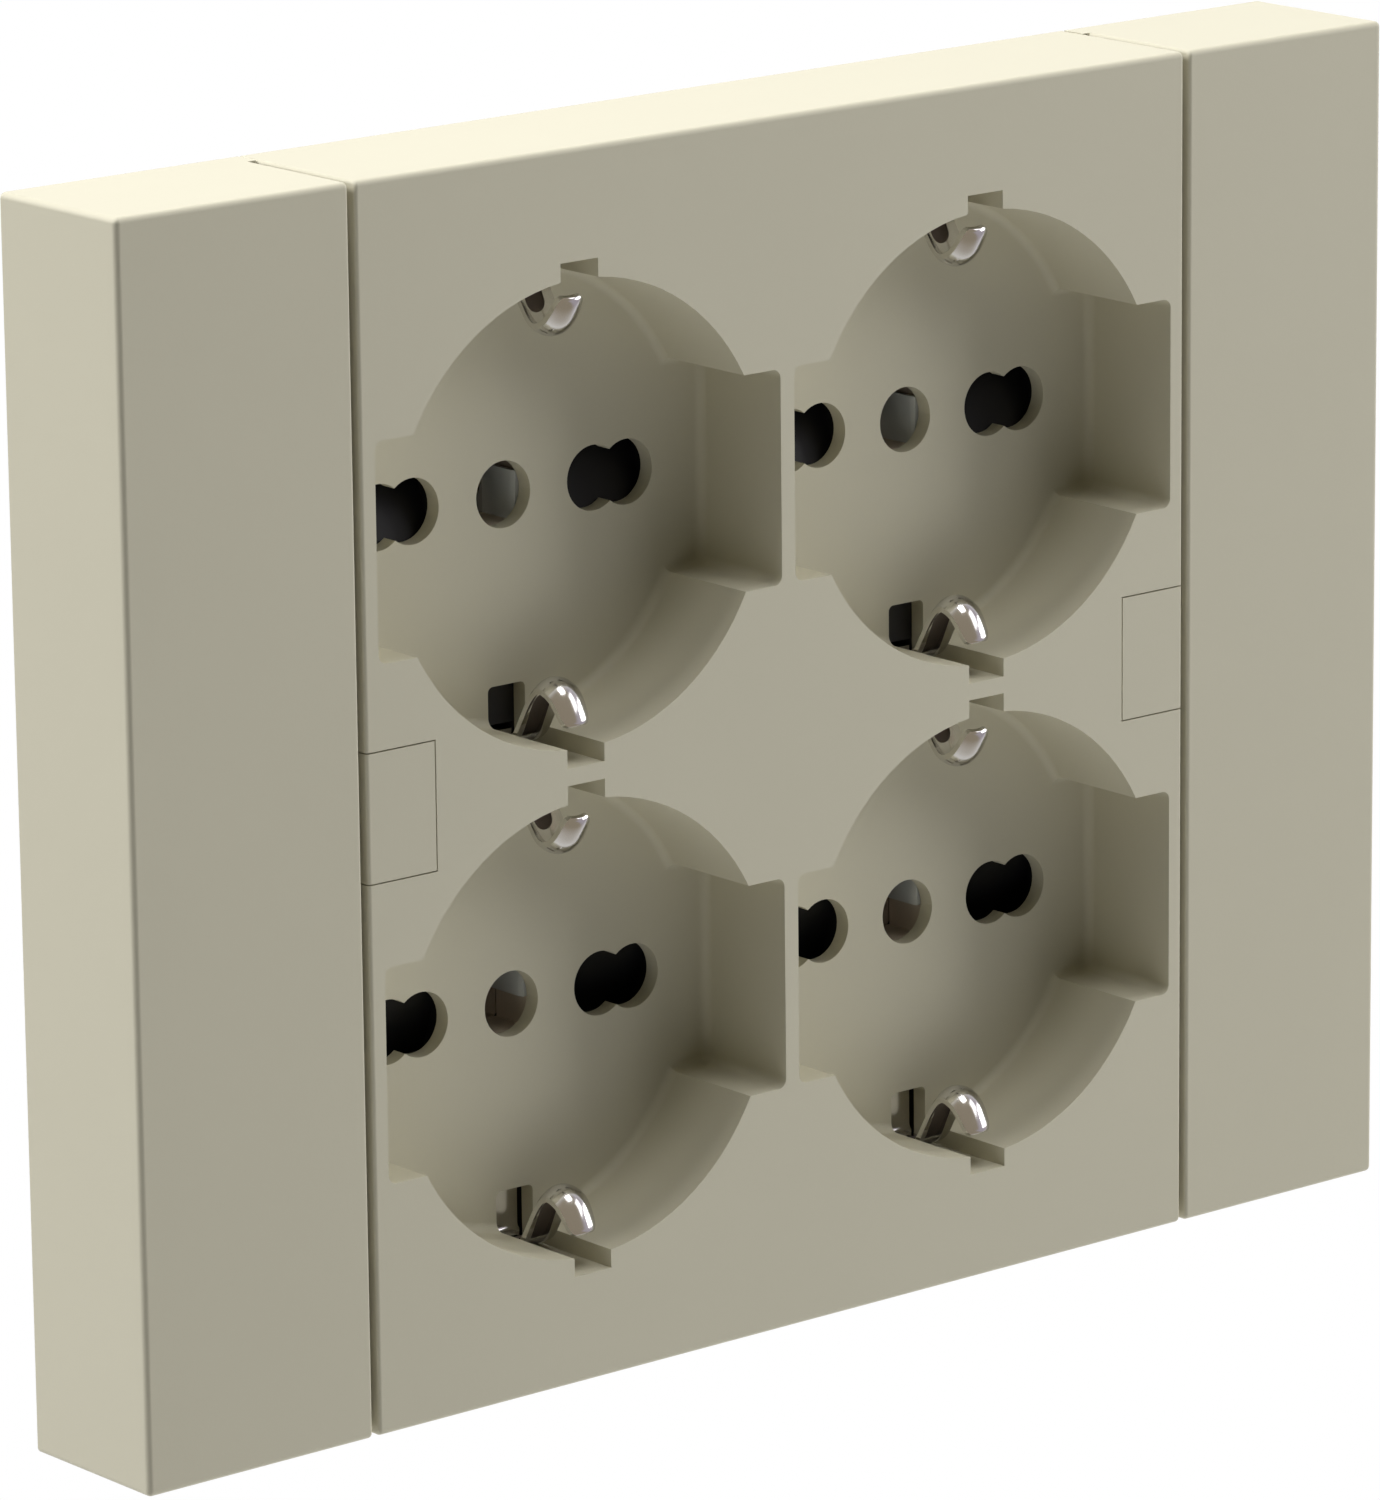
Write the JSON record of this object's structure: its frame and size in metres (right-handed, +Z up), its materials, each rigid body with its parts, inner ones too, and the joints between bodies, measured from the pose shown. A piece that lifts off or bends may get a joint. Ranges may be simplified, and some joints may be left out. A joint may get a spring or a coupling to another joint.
{
  "type": "recessed quadruple socket",
  "caption": "Wall-box socket block: beige moulded cover with round recessed plug wells, sprung earth clips, safety shutters, hollow side wings and flush screw caps.",
  "frame": {"origin": "centre of the two fixing screws, in the wall plane that the block rests against", "axes": "+X to the right seen from the room, +Y into the wall, +Z up"},
  "size_m": [0.1354, 0.0376, 0.1038],
  "materials": {
    "beige_moulding": "satin moulded",
    "dark_moulding": "matt moulded",
    "shutter_moulding": "satin",
    "nickel_plated_strip": "bright plated",
    "contact_brass": "stamped",
    "spring_steel": "drawn wire",
    "zinc_plated_steel": "zinc plated"
  },
  "bodies": {
    "socket_body": {"front_cover": "beige_moulding", "left_wing": "beige_moulding", "right_wing": "beige_moulding", "left_screw_cap": "beige_moulding", "right_screw_cap": "beige_moulding", "rear_housing": "dark_moulding", "shutter_carrier": "dark_moulding", "upper_left_shutter_spring": "spring_steel", "upper_left_earth_contact": "contact_brass", "upper_right_shutter_spring": "spring_steel", "upper_right_earth_contact": "contact_brass", "lower_left_shutter_spring": "spring_steel", "lower_left_earth_contact": "contact_brass", "lower_right_shutter_spring": "spring_steel", "lower_right_earth_contact": "contact_brass", "left_earth_strap": "nickel_plated_strip", "left_inner_earth_clips": "nickel_plated_strip", "left_fixing_screw": "zinc_plated_steel", "right_earth_strap": "nickel_plated_strip", "right_inner_earth_clips": "nickel_plated_strip", "right_fixing_screw": "zinc_plated_steel", "cover_screw_1": "zinc_plated_steel", "cover_screw_2": "zinc_plated_steel", "cover_screw_3": "zinc_plated_steel", "cover_screw_4": "zinc_plated_steel", "earth_terminal": "contact_brass", "earth_terminal_screw": "zinc_plated_steel", "live_terminal": "contact_brass", "live_terminal_screw": "zinc_plated_steel", "neutral_terminal": "contact_brass", "neutral_terminal_screw": "zinc_plated_steel", "earth_link": "contact_brass", "live_link": "contact_brass", "neutral_bar": "contact_brass", "upper_live_bar": "contact_brass", "lower_live_bar": "contact_brass"},
    "upper_left_shutter_body": {"upper_left_shutter": "shutter_moulding"},
    "upper_right_shutter_body": {"upper_right_shutter": "shutter_moulding"},
    "lower_left_shutter_body": {"lower_left_shutter": "shutter_moulding"},
    "lower_right_shutter_body": {"lower_right_shutter": "shutter_moulding"}
  },
  "joints": [
    {"name": "upper_left_shutter_slide", "type": "slide", "parent": "socket_body", "child": "upper_left_shutter_body", "axis": [0, 0, -1], "range_m": [0, 0.0066], "stiffness_N_per_m": 100, "springref_m": -0.004, "deforming": ["upper_left_shutter_spring"]},
    {"name": "upper_right_shutter_slide", "type": "slide", "parent": "socket_body", "child": "upper_right_shutter_body", "axis": [0, 0, -1], "range_m": [0, 0.0066], "stiffness_N_per_m": 100, "springref_m": -0.004, "deforming": ["upper_right_shutter_spring"]},
    {"name": "lower_left_shutter_slide", "type": "slide", "parent": "socket_body", "child": "lower_left_shutter_body", "axis": [0, 0, 1], "range_m": [0, 0.0066], "stiffness_N_per_m": 100, "springref_m": -0.004, "deforming": ["lower_left_shutter_spring"]},
    {"name": "lower_right_shutter_slide", "type": "slide", "parent": "socket_body", "child": "lower_right_shutter_body", "axis": [0, 0, 1], "range_m": [0, 0.0066], "stiffness_N_per_m": 100, "springref_m": -0.004, "deforming": ["lower_right_shutter_spring"]}
  ]
}
